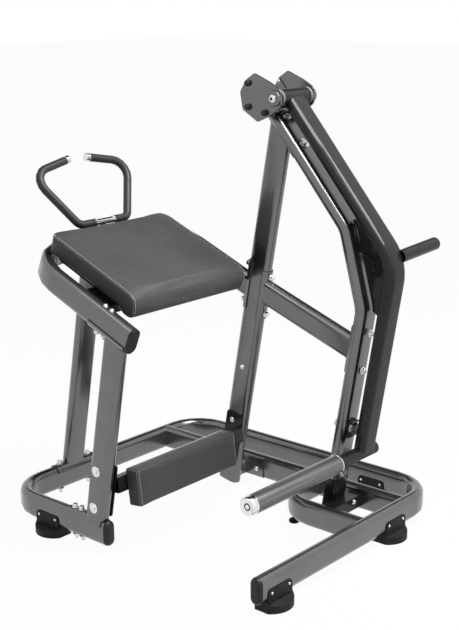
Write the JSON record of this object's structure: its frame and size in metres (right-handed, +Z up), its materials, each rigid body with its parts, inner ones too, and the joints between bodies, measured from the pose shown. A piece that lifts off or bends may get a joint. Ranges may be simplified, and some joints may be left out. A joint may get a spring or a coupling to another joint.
{
  "type": "glute kickback machine",
  "caption": "Plate-loaded standing kickback machine: bent oval-tube floor frame, inclined chest pad with handles, shin pad and a pivoting lever with foot roller and weight horn.",
  "frame": {"origin": "middle of the bounding box on the floor", "axes": "+X to the user's right (the weight horn's side), +Y the way the user faces, +Z up"},
  "size_m": [1.214, 1.3663, 1.7259],
  "materials": {
    "frame_paint": "semi-gloss gunmetal grey powder coat",
    "black_paint": "semi-gloss black powder coat",
    "cap_plastic": "satin black moulded cap",
    "foot_rubber": "matt black moulded rubber",
    "grip_rubber": "satin black sleeve",
    "pad_leather": "charcoal synthetic leather with double stitching",
    "bright_steel": "bright plated steel",
    "roller_rubber": "fine-textured dark grey sleeve"
  },
  "bodies": {
    "frame": {"base_tube": "frame_paint", "middle_rail": "frame_paint", "inner_loop": "frame_paint", "left_post": "frame_paint", "rear_post": "frame_paint", "left_post_base": "frame_paint", "rear_post_base": "frame_paint", "left_post_top": "frame_paint", "rear_post_top": "frame_paint", "pad_loop": "frame_paint", "main_upright": "frame_paint", "top_plate": "frame_paint", "rear_upright": "frame_paint", "cross_tube": "frame_paint", "beam": "frame_paint", "beam_plate": "frame_paint", "beam_saddle": "frame_paint", "loop_saddle": "frame_paint", "cheek_near": "frame_paint", "cheek_far": "frame_paint", "pivot_cap_near": "frame_paint", "pivot_cap_far": "frame_paint", "rail_bridge": "frame_paint", "hip_crossbar": "black_paint", "head_crossbar": "black_paint", "chest_board": "black_paint", "bumper_bracket": "black_paint", "upright_shoe": "black_paint", "shin_crossbar": "black_paint", "shin_side_left": "black_paint", "shin_side_right": "black_paint", "left_run_cap": "cap_plastic", "rear_run_cap": "cap_plastic", "loop_cap": "cap_plastic", "stud_cap_near_1": "cap_plastic", "stud_cap_near_2": "cap_plastic", "stud_cap_near_3": "cap_plastic", "stud_cap_far_1": "cap_plastic", "stud_cap_far_2": "cap_plastic", "stud_cap_far_3": "cap_plastic", "foot_left": "foot_rubber", "foot_rear_left": "foot_rubber", "foot_rear_right": "foot_rubber", "foot_right": "foot_rubber", "levelling_foot": "foot_rubber", "bumper": "foot_rubber", "grip_left": "grip_rubber", "grip_right": "grip_rubber", "chest_pad": "pad_leather", "shin_pad": "pad_leather", "handlebar": "bright_steel", "pivot_shaft": "bright_steel"},
    "lever": {"lever_tube": "black_paint", "gusset": "black_paint", "hub": "black_paint", "foot_bar": "black_paint", "weight_horn": "black_paint", "horn_cap": "cap_plastic", "roller_cap": "bright_steel"},
    "roller": {"roller": "roller_rubber"}
  },
  "joints": [
    {"name": "lever_swing", "type": "hinge", "parent": "frame", "child": "lever", "pos_m": [0.222, -0.158, 1.639], "axis": [-1, 0, 0], "range_deg": [0, 60]},
    {"name": "roller_spin", "type": "hinge", "parent": "lever", "child": "roller", "pos_m": [-0.18, -0.51, 0.33], "axis": [1, 0, 0], "continuous": true}
  ]
}
